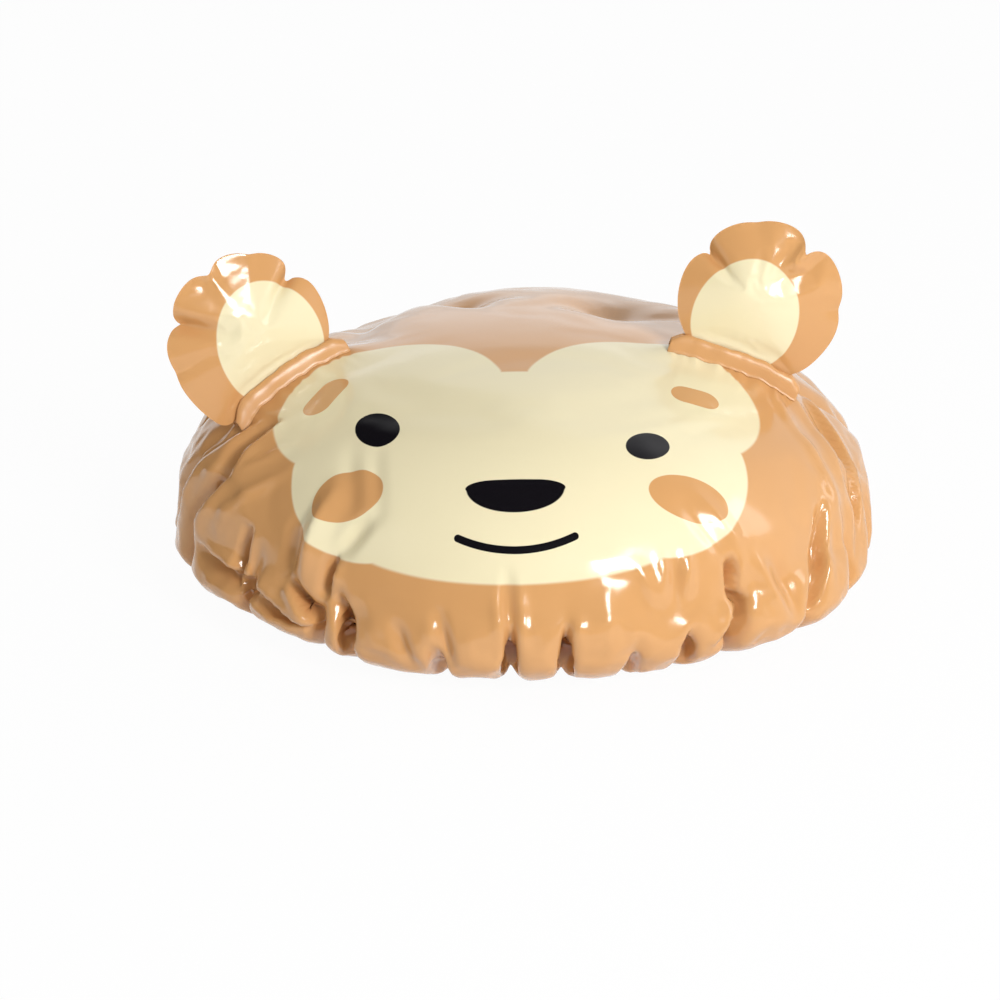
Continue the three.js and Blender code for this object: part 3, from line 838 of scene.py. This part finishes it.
def makeArcGroup():    # a curved stroke of print with round ends
    group, given, out = makeMarkGroup("printArc", [("Radius", 0.03), ("Half Stroke", 0.002), ("Half Sweep", 0.6)])
    along, aside = turnedPlace(group, given)
    along = mathNode(group, "ABSOLUTE", along)
    down = mathNode(group, "MULTIPLY", aside, -1.0)
    turn = mathNode(group, "MINIMUM", mathNode(group, "ARCTAN2", along, down), given["Half Sweep"])
    reachAlong = mathNode(group, "MULTIPLY", given["Radius"], mathNode(group, "SINE", turn))
    reachDown = mathNode(group, "MULTIPLY", given["Radius"], mathNode(group, "COSINE", turn))
    besides = mathNode(group, "SUBTRACT", along, reachAlong), mathNode(group, "SUBTRACT", down, reachDown)
    gap = lengthNode(group, *besides)
    group.links.new(stepNode(group, mathNode(group, "DIVIDE", gap, given["Half Stroke"]), 0.95, 1.05), out["Mask"])
    return group


def makeFilmGroup():    # the film's own unevenness: tone, gloss and a fine drawn surface
    group, given, out = newGroup("filmSurface", [
        ("Place", "Vector", None), ("Tone", "Float", 0.06), ("Gloss Low", "Float", 0.1), ("Gloss High", "Float", 0.2),
    ], [("Tone", "Float"), ("Roughness", "Float"), ("Height", "Float")])

    def cloud(scale, detail, stretch=None):
        node = addNode(group, "TexNoise")
        source = given["Place"]
        if stretch:
            pull = addNode(group, "VectorMath")
            pull.operation = "MULTIPLY"
            pull.inputs[1].default_value = stretch
            group.links.new(source, pull.inputs[0])
            source = pull.outputs[0]
        feedAll(group, node, Vector=source, Scale=scale, Detail=detail)
        return node.outputs["Fac"]

    wide = cloud(14, 2)
    tone = mathNode(group, "MULTIPLY_ADD", mathNode(group, "SUBTRACT", wide, 0.5), given["Tone"], 1.0)
    group.links.new(tone, out["Tone"])
    spread = addNode(group, "MapRange")
    feedAll(group, spread, Value=cloud(60, 3), From_Min=0.3, From_Max=0.7, To_Min=given["Gloss Low"],
            To_Max=given["Gloss High"])
    group.links.new(spread.outputs["Result"], out["Roughness"])
    drawn = mathNode(group, "MULTIPLY", cloud(90, 2, (1, 0.35, 0.5)), 0.5)
    creased = mathNode(group, "MULTIPLY_ADD", cloud(34, 3, (0.45, 1, 1)), 2.2, drawn)
    grain = mathNode(group, "MULTIPLY_ADD", cloud(1400, 1), 0.05, creased)
    group.links.new(grain, out["Height"])
    return group


spotGroup = makeSpotGroup()
arcGroup = makeArcGroup()
filmGroup = makeFilmGroup()


def placeGroup(tree, group, **values):
    node = addNode(tree, "Group")
    node.node_tree = group
    feedAll(tree, node, **values)
    return node


def mixColour(tree, share, first, second, blend="MIX"):
    node = addNode(tree, "Mix")
    node.data_type = "RGBA"
    node.blend_type = blend
    for number, value in ((0, share), (6, first), (7, second)):    # the factor and the two colours
        feed(tree, value, node.inputs[number])
    return node.outputs[2]


def newMaterial(name):
    material = bpy.data.materials.new(name)
    material.use_nodes = True
    return material, material.node_tree, material.node_tree.nodes["Principled BSDF"]


# Print on the crown, in metres on the flat film: across, up, half width, half height, straight, turn
facePrint = dict(
    mask=[
        (-0.052, -0.055, 0.044, 0.0395, 0, 0), (0.044, -0.055, 0.0445, 0.0395, 0, 0),
        (-0.0036, -0.097, 0.078, 0.0505, 0, 0),
        (-0.052, -0.094, 0.0385, 0.0385, 0, 0), (0.045, -0.094, 0.0385, 0.0385, 0, 0),
    ],
    cheeks=[(-0.067, -0.1026, 0.0146, 0.0102, 0, -0.09), (0.0605, -0.1065, 0.0159, 0.0088, 0, 0.03)],
    brows=[(-0.0752, -0.0456, 0.0058, 0.0058, 0.0056, 1.0), (0.0627, -0.0527, 0.0052, 0.0052, 0.0040, -0.04)],
    eyes=[(-0.0541, -0.0756, 0.0077, 0.0105, 0, 0.51), (0.044, -0.0878, 0.0087, 0.0062, 0, 0.52)],
    noseBelow=[(-0.0038, -0.1112, 0.0177, 0.0103, 0, 0)],    # the lower nose is in this oval and the next
    noseAbove=[(-0.0038, -0.122, 0.05, 0.012, 0, 0)],
    noseTop=[(-0.0038, -0.1112, 0.009, 0.0028, 0.009, 0)],
    mouth=dict(Across=-0.0036, Up=-0.0918, Radius=0.0435, Half_Stroke=0.0014, Half_Sweep=0.522, Turn=0),
)


def unionOf(tree, place, ovals):
    total = None
    for across, up, width, height, straight, turn in ovals:
        spot = placeGroup(tree, spotGroup, Place=place, Across=across, Up=up, Half_Width=width, Half_Height=height,
                          Straight=straight, Turn=turn).outputs["Mask"]
        total = spot if total is None else mathNode(tree, "MAXIMUM", total, spot)
    return total


def flatPlace(tree, size, offset):    # the piece's flat layout in metres
    layout = addNode(tree, "UVMap")
    layout.uv_map = "flat"
    scale = addNode(tree, "VectorMath")
    scale.operation = "MULTIPLY_ADD"
    scale.inputs[1].default_value = (size, size, 1)
    scale.inputs[2].default_value = offset
    tree.links.new(layout.outputs["UV"], scale.inputs[0])
    return scale.outputs[0]


def filmFinish(tree, skin, colour, dull=0.0, coat=0.15, bump=0.00025):
    surface = placeGroup(tree, filmGroup, Place=objectPlace(tree)).outputs
    relief = addNode(tree, "Bump")
    feedAll(tree, relief, Strength=0.5, Distance=bump, Height=surface["Height"])
    feedAll(tree, skin, Base_Color=mixColour(tree, 1.0, colour, surface["Tone"], "MULTIPLY"),
            Roughness=mathNode(tree, "ADD", surface["Roughness"], dull), Normal=relief.outputs["Normal"],
            IOR=1.47, Coat_Weight=coat, Coat_Roughness=0.08)


def crownFilm():
    material, tree, skin = newMaterial("printedFilm")
    size = crownShape["flatSize"]
    place = flatPlace(tree, size, (-size / 2, -size / 2, 0))
    colour = mixColour(tree, unionOf(tree, place, facePrint["mask"]), tan, cream)
    colour = mixColour(tree, unionOf(tree, place, facePrint["cheeks"] + facePrint["brows"]), colour, tan)
    nose = mathNode(tree, "MINIMUM", unionOf(tree, place, facePrint["noseBelow"]),
                    unionOf(tree, place, facePrint["noseAbove"]))
    mouth = placeGroup(tree, arcGroup, Place=place, **facePrint["mouth"]).outputs["Mask"]
    black = unionOf(tree, place, facePrint["eyes"] + facePrint["noseTop"])
    black = mathNode(tree, "MAXIMUM", mathNode(tree, "MAXIMUM", black, nose), mouth)
    # Painted shade: down in deep folds the film is darkened towards a darker tan, where shade falls
    foldShade = addNode(tree, "Attribute")
    foldShade.attribute_name = "paintedFoldShade"
    colour = mixColour(tree, mathNode(tree, "MULTIPLY", foldShade.outputs["Fac"], 0.75), colour, foldShadeTan, "MULTIPLY")
    inside = addNode(tree, "NewGeometry").outputs["Backfacing"]
    colour = mixColour(tree, black, colour, ink)
    colour = mixColour(tree, inside, colour, tan)
    filmFinish(tree, skin, colour)
    return material


# The pale patch on each ear's front, laid out in the same way
earPatches = dict(left=(0.0007, 0.018, 0.0212, 0.0252, 0, 0), right=(-0.0032, 0.021, 0.0198, 0.0242, 0, 0))


def earFilm(side):
    material, tree, skin = newMaterial(side + "EarFilm")
    size = earShape["flatSize"]
    place = flatPlace(tree, size, [-size * share for share in earShape["flatMiddle"]] + [0])
    patch = unionOf(tree, place, [earPatches[side]])
    inside = addNode(tree, "NewGeometry").outputs["Backfacing"]
    colour = mixColour(tree, inside, mixColour(tree, patch, tan, cream), tan)
    filmFinish(tree, skin, colour)
    return material


def plainFilm(name, shade, **finish):
    material, tree, skin = newMaterial(name)
    filmFinish(tree, skin, shade, **finish)
    return material


tanFilm = plainFilm("tanFilm", tan)
stripFilm = plainFilm("stripFilm", tan, dull=0.17, coat=0.03)
hemFilm = plainFilm("hemFilm", hemTan)


def textile(name, pattern, scale, colours, roughness):
    material, tree, skin = newMaterial(name)
    grain = addNode(tree, pattern)
    feedAll(tree, grain, Vector=objectPlace(tree), Scale=scale)
    feedAll(tree, skin, Base_Color=mixColour(tree, grain.outputs["Fac"], *colours), Roughness=roughness)
    return material


wovenElastic = textile("wovenElastic", "TexNoise", 2600, elasticColours, 0.85)
sewingThread = textile("sewingThread", "TexWave", 900, threadColours, 0.7)


finishPiece(crown, crownFilm(), "cap")
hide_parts("crown_film")
finishPiece(hem, hemFilm, "cap")
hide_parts("hem_binding")
finishPiece(elastic, wovenElastic, "cap")
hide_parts("elastic_band")
finishPiece(stitches, sewingThread, "cap")
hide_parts("hem_stitching")
for side, place in earFrames.items():
    finishPiece(earStrips[side], stripFilm, "cap")
    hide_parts(side + "_ear_strip", side + "_ear_root")
    for panel, word, material in zip(earPanels[side], ("front", "back"), (earFilm(side), tanFilm)):
        finishPiece(panel, material)
        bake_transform(panel)
        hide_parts(side + "_ear_" + word)


# Camera, light and floor

viewSetup = dict(aim=Vector((0, 0, 0.05)), rise=21, distance=0.85, lens=77.9, shiftX=-0.026, shiftY=-0.065)
lightSetup = dict(
    lamps=dict(
        key=((0.55, -0.95, 0.6), (0.36, 0.28), 9.5), side=((1.0, -0.15, 0.55), (0.2, 0.5), 1.0),
        fill=((-0.9, -0.6, 0.7), (0.5, 0.5), 0.3), back=((-0.2, 1.2, 0.45), (1.6, 0.5), 0.9),
    ),
    surround=0.6, shade=0.3, dimSide=0.02, brightSide=(0.6, 0.75, -0.3), fullDim=0.0, noDim=0.4,
)
floorSetup = dict(half=4, drop=0.0002, colour=(0.92, 0.92, 0.92, 1), roughness=0.95, specular=0.1, shine=0.96)


def setCamera():
    eye = bpy.data.cameras.new("camera")
    eye.lens = viewSetup["lens"]
    eye.sensor_width = 36
    eye.shift_x = viewSetup["shiftX"]
    eye.shift_y = viewSetup["shiftY"]
    stand = newObject("camera", eye)
    rise = math.radians(viewSetup["rise"])
    back = Vector((0, -math.cos(rise), math.sin(rise)))
    stand.location = viewSetup["aim"] + back * viewSetup["distance"]
    stand.rotation_euler = (-back).to_track_quat("-Z", "Y").to_euler()
    scene.camera = stand


def softLight(name, place, size, power):
    lamp = bpy.data.lights.new(name, "AREA")
    lamp.shape = "RECTANGLE"
    lamp.size, lamp.size_y = size
    lamp.energy = power
    stand = newObject(name, lamp)
    stand.location = place
    stand.rotation_euler = (viewSetup["aim"] - Vector(place)).to_track_quat("-Z", "Y").to_euler()


def seenRays(tree):    # 1 where the camera sees it, or a reflection or clear film shows it
    path = addNode(tree, "LightPath")
    seen = mathNode(tree, "MAXIMUM", path.outputs["Is Camera Ray"], path.outputs["Is Glossy Ray"])
    return mathNode(tree, "MAXIMUM", seen, path.outputs["Is Transmission Ray"])


def setSurround():    # white behind the cap, dimmer on the viewer's side
    surround = bpy.data.worlds.new("studio")
    surround.use_nodes = True
    tree = surround.node_tree
    ground = tree.nodes["Background"]
    ground.inputs["Color"].default_value = (1, 1, 1, 1)
    way = addNode(tree, "VectorMath")
    way.operation = "DOT_PRODUCT"
    way.inputs[1].default_value = lightSetup["brightSide"]
    tree.links.new(addNode(tree, "TexCoord").outputs["Generated"], way.inputs[0])
    dim = stepNode(tree, way.outputs["Value"], lightSetup["fullDim"], lightSetup["noDim"])
    light = lightSetup["surround"]
    falls = mathNode(tree, "MULTIPLY_ADD", dim, -light * lightSetup["shade"], light)
    shows = mathNode(tree, "MULTIPLY_ADD", dim, lightSetup["dimSide"] - 1, 1.0)
    strength = mathNode(tree, "MULTIPLY_ADD", seenRays(tree), mathNode(tree, "SUBTRACT", shows, falls), falls)
    straight = addNode(tree, "LightPath").outputs["Is Camera Ray"]    # the backdrop itself stays white
    tree.links.new(mathNode(tree, "MAXIMUM", strength, straight), ground.inputs["Strength"])
    scene.world = surround


def makeFloor():
    bm = bmesh.new()
    bmesh.ops.create_grid(bm, x_segments=1, y_segments=1, size=floorSetup["half"])
    floor = newObject("floor", meshFrom(bm, "floor"))
    floor.location.z = -floorSetup["drop"]
    material, tree, skin = newMaterial("paleFloor")
    feedAll(tree, skin, Base_Color=floorSetup["colour"], Roughness=floorSetup["roughness"],
            Specular_IOR_Level=floorSetup["specular"])
    glow = addNode(tree, "Emission")
    mix = addNode(tree, "MixShader")
    tree.links.new(mathNode(tree, "MULTIPLY", seenRays(tree), floorSetup["shine"]), mix.inputs[0])
    tree.links.new(skin.outputs[0], mix.inputs[1])
    tree.links.new(glow.outputs[0], mix.inputs[2])
    tree.links.new(mix.outputs[0], tree.nodes["Material Output"].inputs["Surface"])
    floor.data.materials.append(material)


setCamera()
for name, lamp in lightSetup["lamps"].items():
    softLight(name + "Light", *lamp)
setSurround()
makeFloor()
scene.view_settings.view_transform = "Standard"
print("camera, light and floor set")
